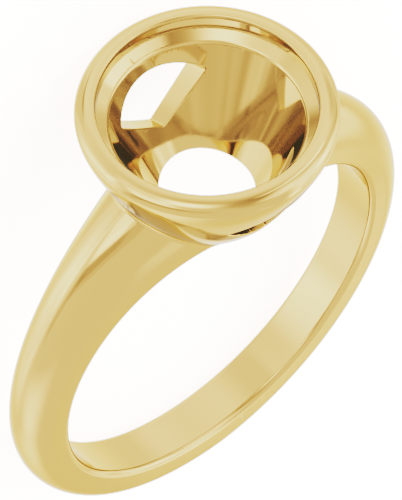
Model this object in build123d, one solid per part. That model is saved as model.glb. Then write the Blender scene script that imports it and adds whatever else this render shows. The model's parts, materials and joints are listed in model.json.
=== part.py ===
from build123d import *
import os
from math import atan2, cos, degrees, hypot, radians, sin, tan

# Ring mounting with an empty round bezel, cast in one piece.
# It is drawn upright: finger hole along Y, head towards +Z, hole's centre at the origin.
# At the end it is turned about X, to lie on its back as it rests on a table.

# Finger hole; its edges are rounded a little past its surface, so that the cut meets them at an angle
finger_diameter = 17.3
hole_edge_round = 0.28
hole_edge_overrun = 0.08

# Shank, from its base opposite the head to the two ends that run into the head
base_width = 2.3
base_thickness = 1.8
head_end_width = 5.02
head_end_thickness = 3.84
width_growth = 5.4
thickness_growth = 3.9
base_side_share = 0.66
head_end_side_share = 0.215
head_end_angle = 80.0
sections_a_side = 8

# Stone seat: a straight wall, a groove for the stone's edge, then the seat
seat_bore_diameter = 8.88
seat_bore_depth = 0.68
seat_bore_chamfer = 0.07
groove_depth = 0.14
groove_height = 0.12
seat_width = 0.6
seat_fall = 0.29

# Head: a slightly bowed cone that grows into a lip round the stone's wall, and a funnel inside it
head_height = 5.63
wall_angle = 26.6
wall_bow = 0.125
wall_bow_share = 0.38
wall_thickness = 0.963
lip_width = 0.87
lip_overhang = 0.276
lip_height = 1.549
lip_crown_height = 0.56

# Windows at the front and the back, cut square to the wall: a bowed V below, an arch above
# Their heights are shares of the head's, from the level of the finger hole's top
window_slope = 25.5
window_width = 4.6
window_apex_share = 0.44
window_corner_share = 0.745
window_arch_share = 0.925
window_side_bow = 0.12

finger_radius = finger_diameter / 2
edge_start = finger_radius + hole_edge_round
edge_end = finger_radius - hole_edge_overrun
seat_bore_radius = seat_bore_diameter / 2
lip_top = finger_radius + head_height
rim_radius = seat_bore_radius + lip_width
rim_level = lip_top - lip_crown_height
lip_start = lip_top - lip_height
lip_start_radius = rim_radius - lip_overhang
wall_flare = tan(radians(wall_angle))
wall_foot_radius = lip_start_radius - (lip_start - finger_radius) * wall_flare
# depth by which the solids run on inside the finger hole before it is cut
run_in = 0.6
# control length of a quarter ellipse drawn as one cubic curve
ellipse_share = 0.5523


def growth(angle, power):
    """share of the way from the base's size to the head end's"""
    return ((angle + 90) / (head_end_angle + 90)) ** power


def shank_section(turn):
    """one D-shaped section, across the shank at an angle in the ring's plane from +X"""
    angle = turn if turn <= 90 else 180 - turn
    width_share = growth(angle, width_growth)
    thickness_share = growth(angle, thickness_growth)
    side_share = base_side_share + (head_end_side_share - base_side_share) * growth(angle, 1)
    half = (base_width + (head_end_width - base_width) * width_share) / 2
    thickness = base_thickness + (head_end_thickness - base_thickness) * thickness_share
    root = finger_radius - run_in
    side_end = finger_radius + thickness * side_share
    crown = finger_radius + thickness
    half_control = half * ellipse_share
    rise_control = side_end + (crown - side_end) * ellipse_share
    outward = (cos(radians(turn)), 0, sin(radians(turn)))
    across = Plane(origin=(0, 0, 0), x_dir=(0, 1, 0), z_dir=(outward[2], 0, -outward[0]))
    neck = half - hole_edge_round
    with BuildSketch(across) as section:
        with BuildLine():
            Line((-neck, root), (neck, root))
            Line((neck, root), (neck, edge_end))
            Bezier((neck, edge_end), (half, edge_end), (half, edge_start))
            Line((half, edge_start), (half, side_end))
            Bezier((half, side_end), (half, rise_control), (half_control, crown), (0, crown))
            Bezier((0, crown), (-half_control, crown), (-half, rise_control), (-half, side_end))
            Line((-half, side_end), (-half, edge_start))
            Bezier((-half, edge_start), (-half, edge_end), (-neck, edge_end))
            Line((-neck, edge_end), (-neck, root))
        make_face()
    return section.sketch.face()


def make_shank():
    """the open hoop from one head end round the base to the other"""
    step = (head_end_angle + 90) / sections_a_side
    turns = [head_end_angle - step * i for i in range(2 * sections_a_side + 1)]
    return loft([shank_section(turn if turn >= -90 else turn + 360) for turn in turns])


def make_head():
    """the solid head: the bezel's bowed wall and its rounded lip"""
    bottom = finger_radius - 2 * run_in
    neck = wall_foot_radius - hole_edge_round
    start_radius = wall_foot_radius + hole_edge_round * wall_flare
    run_across = lip_start_radius - start_radius
    run_up = lip_start - edge_start
    run = hypot(run_across, run_up)
    bow_radius = start_radius + wall_bow_share * run_across + 2 * wall_bow * run_up / run
    bow_level = edge_start + wall_bow_share * run_up - 2 * wall_bow * run_across / run
    foot_flare = (bow_radius - start_radius) / (bow_level - edge_start)
    lip_flare = (lip_start_radius - bow_radius) / (lip_start - bow_level)
    edge_corner = (start_radius - (edge_start - edge_end) * foot_flare, edge_end)
    lip_corner = lip_start + lip_overhang / lip_flare
    lip_crown_radius = seat_bore_radius + seat_bore_chamfer
    crown_control = lip_crown_radius + (rim_radius - lip_crown_radius) * ellipse_share
    rim_control = rim_level + lip_crown_height * ellipse_share
    with BuildPart() as head:
        with BuildSketch(Plane.XZ):
            with BuildLine():
                Line((0, bottom), (neck, bottom))
                Line((neck, bottom), (neck, edge_end))
                Bezier((neck, edge_end), edge_corner, (start_radius, edge_start))
                Bezier((start_radius, edge_start), (bow_radius, bow_level), (lip_start_radius, lip_start))
                Bezier((lip_start_radius, lip_start), (rim_radius, lip_corner), (rim_radius, rim_level))
                Bezier(
                    (rim_radius, rim_level),
                    (rim_radius, rim_control),
                    (crown_control, lip_top),
                    (lip_crown_radius, lip_top),
                )
                Line((lip_crown_radius, lip_top), (0, lip_top))
                Line((0, lip_top), (0, bottom))
            make_face()
        revolve(axis=Axis.Z)
    return head.part


def stone_space():
    """what the bezel holds open: the stone's wall, groove and seat, and the funnel to the finger"""
    wall_end = lip_top - seat_bore_depth
    groove_radius = seat_bore_radius + groove_depth
    groove_end = wall_end - groove_height
    seat_radius = groove_radius - seat_width
    seat_end = groove_end - seat_fall
    funnel_hole_radius = wall_foot_radius - wall_thickness
    funnel_flare = (seat_radius - funnel_hole_radius) / (seat_end - finger_radius)
    bottom = finger_radius - 2 * run_in
    bottom_radius = funnel_hole_radius - funnel_flare * (finger_radius - bottom)
    above = lip_top + run_in
    with BuildPart() as space:
        with BuildSketch(Plane.XZ):
            with BuildLine():
                Polyline(
                    (0, above),
                    (seat_bore_radius - seat_bore_chamfer + above - lip_top, above),
                    (seat_bore_radius, lip_top - seat_bore_chamfer),
                    (seat_bore_radius, wall_end),
                    (groove_radius, groove_end),
                    (seat_radius, seat_end),
                    (bottom_radius, bottom),
                    (0, bottom),
                    close=True,
                )
            make_face()
        revolve(axis=Axis.Z)
    return space.part


def window_space():
    """the front window, as a prism that slopes down and out through the wall"""
    slope = radians(window_slope)
    outward = (0, -cos(slope), -sin(slope))
    front = Plane(origin=(0, 0, finger_radius), x_dir=(1, 0, 0), z_dir=outward)
    apex = (0, head_height * window_apex_share)
    left = (-window_width / 2, head_height * window_corner_share)
    right = (window_width / 2, head_height * window_corner_share)
    arch = (0, head_height * window_arch_share)
    side_turn = atan2(right[1] - apex[1], right[0])
    bow_across = right[0] / 2 + window_side_bow * sin(side_turn)
    bow_up = (right[1] + apex[1]) / 2 - window_side_bow * cos(side_turn)
    with BuildPart() as space:
        with BuildSketch(front):
            with BuildLine():
                ThreePointArc(left, (-bow_across, bow_up), apex)
                ThreePointArc(apex, (bow_across, bow_up), right)
                ThreePointArc(right, arch, left)
            make_face()
        extrude(amount=2 * rim_radius)
    return space.part


def finger_space():
    """the finger hole, longer than the ring is wide"""
    return Cylinder(finger_radius, 4 * rim_radius, rotation=(90, 0, 0))


def resting_tilt():
    """degrees by which the finger hole's axis leans when the bezel and the base touch a table"""
    rim_past_base = rim_radius - base_width / 2
    base_side_end = finger_radius + base_thickness * base_side_share
    return degrees(atan2(rim_past_base, rim_level + base_side_end))


ring = make_head() + make_shank()
window = window_space()
ring = ring - finger_space() - stone_space() - window - window.mirror(Plane.XZ)
ring = ring.rotate(Axis.X, resting_tilt() - 90)

os.makedirs("parts", exist_ok=True)
export_step(ring, "parts/ring_mounting.step")
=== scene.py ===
import json
from math import cos, radians, sin, tan

import bmesh
import bpy
import numpy as np
from mathutils import Matrix, Vector


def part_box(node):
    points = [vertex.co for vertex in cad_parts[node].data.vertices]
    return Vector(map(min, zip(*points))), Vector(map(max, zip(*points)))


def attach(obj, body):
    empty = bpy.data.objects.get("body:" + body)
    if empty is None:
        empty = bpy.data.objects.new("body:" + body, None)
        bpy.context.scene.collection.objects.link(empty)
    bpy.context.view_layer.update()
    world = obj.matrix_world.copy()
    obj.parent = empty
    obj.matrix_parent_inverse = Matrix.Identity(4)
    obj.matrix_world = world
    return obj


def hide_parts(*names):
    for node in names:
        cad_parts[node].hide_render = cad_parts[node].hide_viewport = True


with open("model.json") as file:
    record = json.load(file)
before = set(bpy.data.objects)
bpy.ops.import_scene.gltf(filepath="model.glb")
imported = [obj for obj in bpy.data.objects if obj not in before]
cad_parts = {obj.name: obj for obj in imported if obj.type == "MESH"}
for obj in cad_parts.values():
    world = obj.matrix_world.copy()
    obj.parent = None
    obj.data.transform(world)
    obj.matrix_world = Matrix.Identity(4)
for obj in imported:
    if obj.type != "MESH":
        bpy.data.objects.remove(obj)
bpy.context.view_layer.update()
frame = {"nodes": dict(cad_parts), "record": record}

# The camera: it stands where the photograph was taken from, in the upright ring's own directions.
# They are across the ring, towards the back of its finger hole, and up towards its head.
mounts = {mount["name"]: mount for mount in frame["record"]["mounts"]}
head_axis = Vector(mounts["stone_seat"]["axis"])
finger_axis = Vector(mounts["finger_bore"]["axis"])
ring_frame = Matrix((Vector((1, 0, 0)), -finger_axis, head_axis)).transposed()
camera_place = ring_frame @ Vector((-0.05037, -0.05736, 0.11375))
camera_aim = ring_frame @ Vector((-0.00033, 0, 0.004386))
lens_length, film_height = 227.3, 36
nearest, farthest = 0.01, 10

camera_data = bpy.data.cameras.new("camera")
camera_data.lens = lens_length
camera_data.sensor_fit = "VERTICAL"
camera_data.sensor_height = film_height
camera_data.clip_start = nearest
camera_data.clip_end = farthest
backward = (camera_place - camera_aim).normalized()
sideways = head_axis.cross(backward).normalized()
camera = bpy.data.objects.new("camera", camera_data)
camera.matrix_world = Matrix((sideways, backward.cross(sideways), backward)).transposed().to_4x4()
camera.location = camera_place
bpy.context.scene.collection.objects.link(camera)
bpy.context.scene.camera = camera

# The film: bright parts run up to white slowly, as in a product photograph, which pales the gold's lights
# and keeps its darks warm.
film_white = 5.0
film_response = [
    (0.0, 0.0), (0.12, 0.018), (0.2, 0.033), (0.3, 0.081), (0.4, 0.17), (0.5, 0.271), (0.65, 0.407),
    (0.8, 0.507), (1.0, 0.603), (1.25, 0.678), (1.6, 0.747), (2.2, 0.79), (3.2, 0.849), (film_white, 1.0),
]
film = bpy.context.scene.view_settings
film.view_transform = "Standard"
film.use_curve_mapping = True
film.curve_mapping.white_level = (film_white, film_white, film_white)
response = film.curve_mapping.curves[3]
for light, shown in film_response[1:-1]:
    response.points.new(light / film_white, shown)
response.points[0].location = (0, 0)
response.points[len(film_response) - 1].location = (1, 1)
film.curve_mapping.update()


# The ring: one casting of yellow gold, its sharp edges broken with a fine file, then buffed to a mirror.
# Its sizes are in millimetres, upright: across the ring, along the finger hole, and up towards the bezel.
# Shank and bezel are joined by a narrow fillet, and everything that is open is cut out of both.
finger_radius = 8.65
base_width, base_thickness, base_side_share = 2.3, 1.8, 0.66
head_end_width, head_end_thickness, head_end_side_share = 5.02, 3.84, 0.215
width_growth, thickness_growth = 5.4, 3.9
base_angle, head_end_angle = -90.0, 80.0

# The bezel's outline, each point by its level and radius; the bow is the point that the wall bends towards
wall_start, wall_start_radius = 8.93, 3.1305
wall_bow, wall_bow_radius = 10.2626, 4.0773
lip_start, lip_start_radius = 12.731, 5.034
rim_level, rim_radius = 13.72, 5.31
lip_top, lip_crown_radius = 14.28, 4.51

seat_wall_radius, seat_wall_top, seat_wall_end = 4.44, 14.21, 13.6
groove_radius, groove_end = 4.58, 13.48
seat_radius, seat_end = 3.98, 13.19
funnel_hole_radius = 2.0274

window_slope = 25.5
window_half_width, window_bow = 2.3, 0.12
window_apex, window_corner, window_arch = 2.477, 4.194, 5.208

joint_fillet, finger_edge, stone_edge, groove_corner = 0.14, 0.28, 0.07, 0.03
window_edge, window_apex_fillet, window_corner_fillet = 0.06, 0.06, 0.16

# How finely the surface is meshed, and how far a point may slide towards it at each step
millimetre = 0.001
voxel_size = 0.06
most_triangles = 190000
longest_step = 0.08
slope_step = 0.001
least_slope, least_body_slope, least_share = 0.5, 0.05, 0.001
weld_distance = 1e-7


def joined(first, second, radius):
    """two solids as one, with a fillet of this radius along the corner where they meet"""
    near = np.hypot(np.maximum(radius - first, 0), np.maximum(radius - second, 0))
    return np.maximum(radius, np.minimum(first, second)) - near


def trimmed(first, second, radius):
    """what is left of the first solid inside the second, its edge rounded to this radius"""
    return -joined(-first, -second, radius)


def slope_of(field, points):
    """the direction in which a field rises at each point, as long as it rises steeply"""
    offsets = np.eye(3) * slope_step
    rises = [field(points + offset) - field(points - offset) for offset in offsets]
    return np.stack(rises, 1) / (2 * slope_step)


def as_distance(field, points):
    """a field at each point, rescaled to measure millimetres near its surface"""
    steepness = np.linalg.norm(slope_of(field, points), axis=1)
    return field(points) / np.maximum(steepness, least_body_slope)


def shank_body(points):
    """below nought inside the hoop: flat sides, then half an ellipse over the crown"""
    x, y, z = points.T
    angle = np.degrees(np.arctan2(z, np.abs(x)))
    share = np.clip((angle - base_angle) / (head_end_angle - base_angle), least_share, 1)
    half_width = (base_width + (head_end_width - base_width) * share ** width_growth) / 2
    thickness = base_thickness + (head_end_thickness - base_thickness) * share ** thickness_growth
    side = thickness * (base_side_share + (head_end_side_share - base_side_share) * share)
    rise = np.maximum(np.hypot(x, z) - finger_radius - side, 0) / (thickness - side)
    return np.hypot(y / half_width, rise) - 1


def curve_radius(height, start, control, end):
    """radius of a curve between two points of the half section, each a level and a radius"""
    bend = start[0] - 2 * control[0] + end[0]
    run = 2 * (control[0] - start[0])
    reach = np.clip(height, start[0], end[0]) - start[0]
    t = (np.sqrt(run ** 2 + 4 * bend * reach) - run) / (2 * bend)
    return (1 - t) ** 2 * start[1] + 2 * t * (1 - t) * control[1] + t ** 2 * end[1]


def bezel_body(points):
    """below nought inside the bezel's outline: a bowed wall that swells into a rounded lip"""
    across = np.hypot(points[:, 0], points[:, 1])
    height = points[:, 2]
    foot, bow = (wall_start, wall_start_radius), (wall_bow, wall_bow_radius)
    lip = (lip_start, lip_start_radius)
    foot_flare = (wall_bow_radius - wall_start_radius) / (wall_bow - wall_start)
    lip_flare = (lip_start_radius - wall_bow_radius) / (lip_start - wall_bow)
    swell = (lip_start + (rim_radius - lip_start_radius) / lip_flare, rim_radius)
    radius = curve_radius(height, foot, bow, lip)
    radius = radius + curve_radius(height, lip, swell, (rim_level, rim_radius)) - lip_start_radius
    radius = radius - foot_flare * np.maximum(wall_start - height, 0)
    crown_width = rim_radius - lip_crown_radius
    crown_rise = np.maximum(height - rim_level, 0) / (lip_top - rim_level)
    over = np.maximum(across - lip_crown_radius, 0) / crown_width
    crown = (np.hypot(over, crown_rise) - 1) * crown_width
    return np.where(height > rim_level, crown, across - radius)


def beside_line(points, start, end):
    """distance to the left of a line drawn in the half section, from start to end"""
    across = np.hypot(points[:, 0], points[:, 1]) - start[0]
    height = points[:, 2] - start[1]
    along = np.array([end[0] - start[0], end[1] - start[1]])
    along = along / np.hypot(*along)
    return along[0] * height - along[1] * across


def stone_bed(points):
    """below nought in the metal round the stone: chamfer, wall, groove, seat and funnel"""
    wall_foot = (seat_wall_radius, seat_wall_end)
    groove_bottom = (groove_radius, groove_end)
    wall_head = (seat_wall_radius, seat_wall_top)
    seat_lip = (seat_radius, seat_end)
    upper = beside_line(points, wall_head, (lip_crown_radius, lip_top))
    upper = trimmed(upper, beside_line(points, wall_foot, wall_head), stone_edge)
    upper = trimmed(upper, beside_line(points, groove_bottom, wall_foot), groove_corner)
    lower = beside_line(points, seat_lip, groove_bottom)
    funnel = beside_line(points, (funnel_hole_radius, finger_radius), seat_lip)
    return joined(upper, trimmed(lower, funnel, stone_edge), groove_corner)


def window_surround(points):
    """below nought beside the windows, which are cut square to the wall at front and back"""
    slope = np.radians(window_slope)
    across = np.abs(points[:, 0])
    up = np.sin(slope) * np.abs(points[:, 1]) + np.cos(slope) * (points[:, 2] - finger_radius)
    chord = np.hypot(window_half_width, window_corner - window_apex)
    bow_radius = (chord ** 2 / 4 + window_bow ** 2) / (2 * window_bow)
    lean = np.arctan2(window_corner - window_apex, window_half_width)
    inset = bow_radius - window_bow
    bow_across = window_half_width / 2 - inset * np.sin(lean)
    bow_up = (window_apex + window_corner) / 2 + inset * np.cos(lean)
    near_side = bow_radius - np.hypot(across - bow_across, up - bow_up)
    far_side = bow_radius - np.hypot(across + bow_across, up - bow_up)
    rise = window_arch - window_corner
    arch_radius = (window_half_width ** 2 + rise ** 2) / (2 * rise)
    arch = arch_radius - np.hypot(across, up - window_arch + arch_radius)
    sides = joined(near_side, far_side, window_apex_fillet)
    return joined(sides, arch, window_corner_fillet)


def ring_metal(points):
    """below nought inside the finished ring"""
    body = joined(as_distance(shank_body, points), as_distance(bezel_body, points), joint_fillet)
    body = trimmed(body, finger_radius - np.hypot(points[:, 0], points[:, 2]), finger_edge)
    body = trimmed(body, stone_bed(points), stone_edge)
    return trimmed(body, window_surround(points), window_edge)


def move_onto_surface(mesh, rounds):
    """slides a mesh's points onto the ring's surface, and gives the surface's direction at each"""
    points = np.empty(3 * len(mesh.vertices))
    mesh.vertices.foreach_get("co", points)
    points = points.reshape(-1, 3)
    for _ in range(rounds):
        slope = slope_of(ring_metal, points)
        step = ring_metal(points) / np.maximum((slope ** 2).sum(1), least_slope ** 2)
        points = points - np.clip(step, -longest_step, longest_step)[:, None] * slope
    mesh.vertices.foreach_set("co", points.ravel())
    slope = slope_of(ring_metal, points)
    return slope / np.linalg.norm(slope, axis=1)[:, None]


# An even grid over the CAD ring is moved onto the surface, then thinned out and moved once more
cad_ring = frame["nodes"]["ring_mounting"]
rough = bmesh.new()
rough.from_mesh(cad_ring.data)
bmesh.ops.remove_doubles(rough, verts=rough.verts, dist=weld_distance)
rough.transform(Matrix.Scale(1 / millimetre, 4) @ ring_frame.transposed().to_4x4())
ring_mesh = bpy.data.meshes.new("polished_ring")
rough.to_mesh(ring_mesh)
rough.free()
ring = bpy.data.objects.new("polished_ring", ring_mesh)
bpy.context.scene.collection.objects.link(ring)

remesh = ring.modifiers.new("even_grid", "REMESH")
remesh.mode = "VOXEL"
remesh.voxel_size = voxel_size
ring_mesh = bpy.data.meshes.new_from_object(ring.evaluated_get(bpy.context.evaluated_depsgraph_get()))
move_onto_surface(ring_mesh, rounds=4)
ring.modifiers.remove(remesh)
ring.data = ring_mesh

thin_out = ring.modifiers.new("thin_out", "DECIMATE")
thin_out.ratio = min(1, most_triangles / (2 * len(ring_mesh.polygons)))
ring_mesh = bpy.data.meshes.new_from_object(ring.evaluated_get(bpy.context.evaluated_depsgraph_get()))
surface_directions = move_onto_surface(ring_mesh, rounds=2)
ring.modifiers.remove(thin_out)
ring.data = ring_mesh
ring_mesh.polygons.foreach_set("use_smooth", [True] * len(ring_mesh.polygons))
ring_mesh.transform(ring_frame.to_4x4() @ Matrix.Scale(millimetre, 4))
ring_mesh.normals_split_custom_set_from_vertices(surface_directions @ np.array(ring_frame).T)
ring_mesh.update()

# The buffing: faint patches of a duller, paler polish, and hair lines that run round the ring.
pale_gold = (0.95, 0.72, 0.45, 1)
added_roughness = 0.12
line_stretch = (0.06, 0.06, 1)
buffing = bpy.data.node_groups.new("buffed_polish", "ShaderNodeTree")
buffing.interface.new_socket("Position", in_out="INPUT", socket_type="NodeSocketVector")
buffing.interface.new_socket("Colour", in_out="INPUT", socket_type="NodeSocketColor")
for name in ("Roughness", "Patches per Metre", "Lines per Metre", "Unevenness"):
    buffing.interface.new_socket(name, in_out="INPUT", socket_type="NodeSocketFloat")
buffing.interface.new_socket("Colour", in_out="OUTPUT", socket_type="NodeSocketColor")
buffing.interface.new_socket("Roughness", in_out="OUTPUT", socket_type="NodeSocketFloat")
buffing.interface.new_socket("Height", in_out="OUTPUT", socket_type="NodeSocketFloat")
given = buffing.nodes.new("NodeGroupInput")
result = buffing.nodes.new("NodeGroupOutput")

patches = buffing.nodes.new("ShaderNodeTexNoise")
patches.inputs["Detail"].default_value = 3
buffing.links.new(given.outputs["Position"], patches.inputs["Vector"])
buffing.links.new(given.outputs["Patches per Metre"], patches.inputs["Scale"])
dulling = buffing.nodes.new("ShaderNodeMath")
dulling.operation = "MULTIPLY"
buffing.links.new(patches.outputs["Fac"], dulling.inputs[0])
buffing.links.new(given.outputs["Unevenness"], dulling.inputs[1])
paling = buffing.nodes.new("ShaderNodeMix")
paling.data_type = "RGBA"
paling.inputs["B"].default_value = pale_gold
buffing.links.new(dulling.outputs["Value"], paling.inputs["Factor"])
buffing.links.new(given.outputs["Colour"], paling.inputs["A"])
buffing.links.new(paling.outputs["Result"], result.inputs["Colour"])
roughening = buffing.nodes.new("ShaderNodeMath")
roughening.operation = "MULTIPLY_ADD"
roughening.inputs[1].default_value = added_roughness
buffing.links.new(dulling.outputs["Value"], roughening.inputs[0])
buffing.links.new(given.outputs["Roughness"], roughening.inputs[2])
buffing.links.new(roughening.outputs["Value"], result.inputs["Roughness"])

along_ring = buffing.nodes.new("ShaderNodeVectorMath")
along_ring.operation = "MULTIPLY"
along_ring.inputs[1].default_value = line_stretch
hair_lines = buffing.nodes.new("ShaderNodeTexNoise")
hair_lines.inputs["Detail"].default_value = 1
buffing.links.new(given.outputs["Position"], along_ring.inputs[0])
buffing.links.new(along_ring.outputs["Vector"], hair_lines.inputs["Vector"])
buffing.links.new(given.outputs["Lines per Metre"], hair_lines.inputs["Scale"])
buffing.links.new(hair_lines.outputs["Fac"], result.inputs["Height"])

gold_colour = (0.95, 0.624, 0.322, 1)
# painted light: a paler colour and a faint glow that the gold shows only where it is seen in reflections
painted_pale_reflected_gold = (0.62, 0.60, 0.59, 1)
painted_glow_in_reflections = (0.08, 0.108, 0.12, 1)
gold_edge_tint = (0.983, 0.855, 0.65, 1)
gold_roughness = 0.064
patches_per_metre, lines_per_metre = 350, 20000
polish_unevenness = 0.12
line_strength, line_depth = 0.1, 0.000002
gold = bpy.data.materials.new("polished_gold")
gold.use_nodes = True
tree = gold.node_tree
metal = tree.nodes["Principled BSDF"]
metal.inputs["Metallic"].default_value = 1
metal.inputs["Specular Tint"].default_value = gold_edge_tint
place = tree.nodes.new("ShaderNodeTexCoord")
polish = tree.nodes.new("ShaderNodeGroup")
polish.node_tree = buffing
polish.inputs["Colour"].default_value = gold_colour
polish.inputs["Roughness"].default_value = gold_roughness
polish.inputs["Patches per Metre"].default_value = patches_per_metre
polish.inputs["Lines per Metre"].default_value = lines_per_metre
polish.inputs["Unevenness"].default_value = polish_unevenness
tree.links.new(place.outputs["Object"], polish.inputs["Position"])
tree.links.new(polish.outputs["Roughness"], metal.inputs["Roughness"])
grain = tree.nodes.new("ShaderNodeBump")
grain.inputs["Strength"].default_value = line_strength
grain.inputs["Distance"].default_value = line_depth
tree.links.new(polish.outputs["Height"], grain.inputs["Height"])
tree.links.new(grain.outputs["Normal"], metal.inputs["Normal"])

# Painted light: gold that is mirrored in gold is painted paler than a second bounce would leave it, and a
# faint painted glow is added over it.
path = tree.nodes.new("ShaderNodeLightPath")
painted_paling = tree.nodes.new("ShaderNodeMix")
painted_paling.data_type = "RGBA"
painted_paling.inputs["B"].default_value = painted_pale_reflected_gold
tree.links.new(path.outputs["Is Glossy Ray"], painted_paling.inputs["Factor"])
tree.links.new(polish.outputs["Colour"], painted_paling.inputs["A"])
tree.links.new(painted_paling.outputs["Result"], metal.inputs["Base Color"])
# painted glow: light that the gold gives off only where it is seen in reflections
painted_glow = tree.nodes.new("ShaderNodeMix")
painted_glow.data_type = "RGBA"
painted_glow.inputs["A"].default_value = (0, 0, 0, 1)
painted_glow.inputs["B"].default_value = painted_glow_in_reflections
tree.links.new(path.outputs["Is Glossy Ray"], painted_glow.inputs["Factor"])
tree.links.new(painted_glow.outputs["Result"], metal.inputs["Emission Color"])
metal.inputs["Emission Strength"].default_value = 1
ring_mesh.materials.clear()
ring_mesh.materials.append(gold)
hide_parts("ring_mounting")
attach(ring, "root")

# The table: a sheet of pale acrylic, lit from below, so that it is nearly white to the eye.
# It is far wider than the ring, and the ring stands on it by its bezel's rim and its shank's base.
table_half_width = 1.2
table_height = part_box("ring_mounting")[0].z
table_colour = (0.88, 0.88, 0.87, 1)
table_glow = 3.7
table_roughness, table_gloss = 0.7, 0.2
table_mesh = bpy.data.meshes.new("table")
table_corners = [(-1, -1), (1, -1), (1, 1), (-1, 1)]
table_mesh.from_pydata(
    [(x * table_half_width, y * table_half_width, table_height) for x, y in table_corners],
    [], [(0, 1, 2, 3)],
)
table = bpy.data.objects.new("table", table_mesh)
bpy.context.scene.collection.objects.link(table)
table.visible_glossy = False

acrylic = bpy.data.materials.new("lit_acrylic")
acrylic.use_nodes = True
tree = acrylic.node_tree
sheet = tree.nodes["Principled BSDF"]
sheet.inputs["Base Color"].default_value = table_colour
sheet.inputs["Roughness"].default_value = table_roughness
sheet.inputs["Specular IOR Level"].default_value = table_gloss
sheet.inputs["Emission Color"].default_value = (1, 1, 1, 1)
path = tree.nodes.new("ShaderNodeLightPath")
glow = tree.nodes.new("ShaderNodeMath")
glow.operation = "MULTIPLY"
glow.inputs[1].default_value = table_glow
tree.links.new(path.outputs["Is Camera Ray"], glow.inputs[0])
tree.links.new(glow.outputs["Value"], sheet.inputs["Emission Strength"])
table_mesh.materials.append(acrylic)

# The studio: pale walls all round, with soft boxes hung before them and one dark flag beside the camera.
# Each is a soft-edged panel on the far wall, given by where its middle is seen from the ring.
light_below, light_around, light_above = 1.73, 1.37, 1.31
panels = [
    # compass, height, half width, half height and turn in degrees, edge softness, light added
    (349, 50, 38, 17, 13, 0.42, 0.84),
    (357, 27, 18, 12, 42, 0.45, 0.99),
    (108, 17, 11, 9, -43, 0.95, 1.61),
    (135, 6, 11, 14, 21, 0.43, 0.84),
    (221, 7, 12, 21, -23, 0.88, 0.65),
    (298, 31, 4, 17, -15, 0.30, 0.72),
    (336, 8, 37, 6, -28, 0.95, 0.72),
    (88, 33, 13, 30, 1, 0.76, -0.44),
    (273, 47, 3, 14, 30, 0.34, 0.22),
    (57, -14, 36, 30, -90, 0.44, 0.42),
    (175, -39, 30, 17, -21, 0.92, 1.03),
    (243, -8, 13, 17, 44, 0.85, 0.60),
    (305, -4, 14, 11, -47, 0.95, 0.50),
    (306, -33, 35, 23, 25, 0.85, 0.50),
    (319, -63, 18, 10, 59, 0.39, 0.71),
    (149, -20, 21, 3, -14, 0.57, 0.41),
    (111, -68, 10, 24, 11, 0.26, -0.27),
    (358, 8, 11, 17, -17, 0.14, -0.25),
    (151, 23, 8, 27, 19, 0.19, -0.18),
    (59, 25, 19, 3, 18, 0.18, 1.01),
    (61, -29, 22, 16, -18, 0.95, -0.28),
    (59, 52, 14, 14, -19, 0.44, 0.69),
    (186, -41, 19, 11, -32, 0.59, -0.56),
    (89, -52, 3, 8, -53, 0.77, -0.72),
    (43, 54, 5, 12, 6, 0.21, -0.48),
    (72, 26, 9, 15, -22, 0.78, -0.28),
    (32, -2, 8, 8, -3, 0.51, -0.38),
    (118, -6, 8, 8, 2, 0.51, 0.37),
    (324, 45, 8, 8, 0, 0.50, -0.37),
    (150, 17, 17, 5, -68, 0.30, -0.24),
    (140, 13, 17, 5, -68, 0.30, 0.30),
    (168, -4, 15, 5, -23, 0.30, -0.22),
]


def toward(compass, height):
    """the direction at a compass angle from +X towards +Y, and at a height above the table"""
    a, h = radians(compass), radians(height)
    return Vector((cos(a) * cos(h), sin(a) * cos(h), sin(h)))


panel = bpy.data.node_groups.new("soft_panel", "ShaderNodeTree")
for name in ("Direction", "Middle", "Across", "Upward"):
    panel.interface.new_socket(name, in_out="INPUT", socket_type="NodeSocketVector")
for name in ("Half Width", "Half Height", "Edge", "Light"):
    panel.interface.new_socket(name, in_out="INPUT", socket_type="NodeSocketFloat")
panel.interface.new_socket("Light", in_out="OUTPUT", socket_type="NodeSocketFloat")
given = panel.nodes.new("NodeGroupInput")
result = panel.nodes.new("NodeGroupOutput")


def part_along(axis):
    """how far the direction points along one of the panel's axes"""
    node = panel.nodes.new("ShaderNodeVectorMath")
    node.operation = "DOT_PRODUCT"
    panel.links.new(given.outputs["Direction"], node.inputs[0])
    panel.links.new(given.outputs[axis], node.inputs[1])
    return node.outputs["Value"]


def calculated(operation, first, second):
    """one Math node on two sockets or numbers"""
    node = panel.nodes.new("ShaderNodeMath")
    node.operation = operation
    for value, socket in zip((first, second), node.inputs):
        if isinstance(value, float):
            socket.default_value = value
        else:
            panel.links.new(value, socket)
    return node.outputs["Value"]


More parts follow.
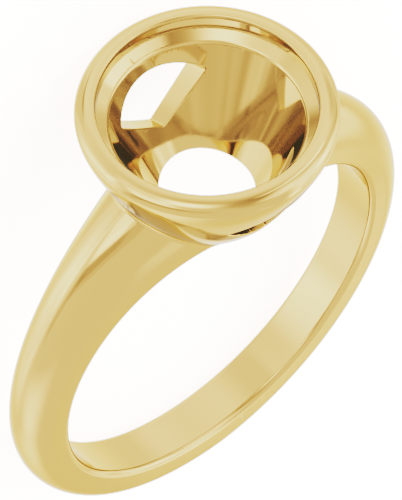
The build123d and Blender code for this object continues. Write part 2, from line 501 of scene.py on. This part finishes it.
ahead = part_along("Middle")
inside = calculated("GREATER_THAN", ahead, 0.0)
for axis, half in (("Across", "Half Width"), ("Upward", "Half Height")):
    offset = calculated("ABSOLUTE", calculated("DIVIDE", part_along(axis), ahead), 0.0)
    share = calculated("DIVIDE", offset, given.outputs[half])
    edge = panel.nodes.new("ShaderNodeMapRange")
    edge.interpolation_type = "SMOOTHSTEP"
    panel.links.new(share, edge.inputs["Value"])
    panel.links.new(calculated("ADD", 1.0, given.outputs["Edge"]), edge.inputs["From Min"])
    panel.links.new(calculated("SUBTRACT", 1.0, given.outputs["Edge"]), edge.inputs["From Max"])
    inside = calculated("MULTIPLY", inside, edge.outputs["Result"])
panel.links.new(calculated("MULTIPLY", inside, given.outputs["Light"]), result.inputs["Light"])

studio = bpy.data.worlds.new("studio")
studio.use_nodes = True
tree = studio.node_tree
bearing = tree.nodes.new("ShaderNodeTexCoord")
height_of_light = tree.nodes.new("ShaderNodeSeparateXYZ")
tree.links.new(bearing.outputs["Generated"], height_of_light.inputs["Vector"])
total = None
for top, light_there in ((1, light_above), (-1, light_below)):
    walls = tree.nodes.new("ShaderNodeMapRange")
    walls.interpolation_type = "SMOOTHSTEP"
    tree.links.new(height_of_light.outputs["Z"], walls.inputs["Value"])
    walls.inputs["From Min"].default_value = 0
    walls.inputs["From Max"].default_value = top
    walls.inputs["To Min"].default_value = light_around / 2
    walls.inputs["To Max"].default_value = light_there - light_around / 2
    if total:
        both = tree.nodes.new("ShaderNodeMath")
        tree.links.new(total, both.inputs[0])
        tree.links.new(walls.outputs["Result"], both.inputs[1])
        total = both.outputs["Value"]
    else:
        total = walls.outputs["Result"]
for compass, height, half_width, half_height, turn, edge, light in panels:
    middle = toward(compass, height)
    across = toward(compass + 90, 0)
    across.rotate(Matrix.Rotation(radians(turn), 3, middle))
    node = tree.nodes.new("ShaderNodeGroup")
    node.node_tree = panel
    tree.links.new(bearing.outputs["Generated"], node.inputs["Direction"])
    node.inputs["Middle"].default_value = middle
    node.inputs["Across"].default_value = across
    node.inputs["Upward"].default_value = middle.cross(across)
    node.inputs["Half Width"].default_value = tan(radians(half_width))
    node.inputs["Half Height"].default_value = tan(radians(half_height))
    node.inputs["Edge"].default_value = edge
    node.inputs["Light"].default_value = light
    adding = tree.nodes.new("ShaderNodeMath")
    tree.links.new(total, adding.inputs[0])
    tree.links.new(node.outputs["Light"], adding.inputs[1])
    total = adding.outputs["Value"]
tree.links.new(total, tree.nodes["Background"].inputs["Strength"])
tree.nodes["Background"].inputs["Color"].default_value = (1, 1, 1, 1)
bpy.context.scene.world = studio
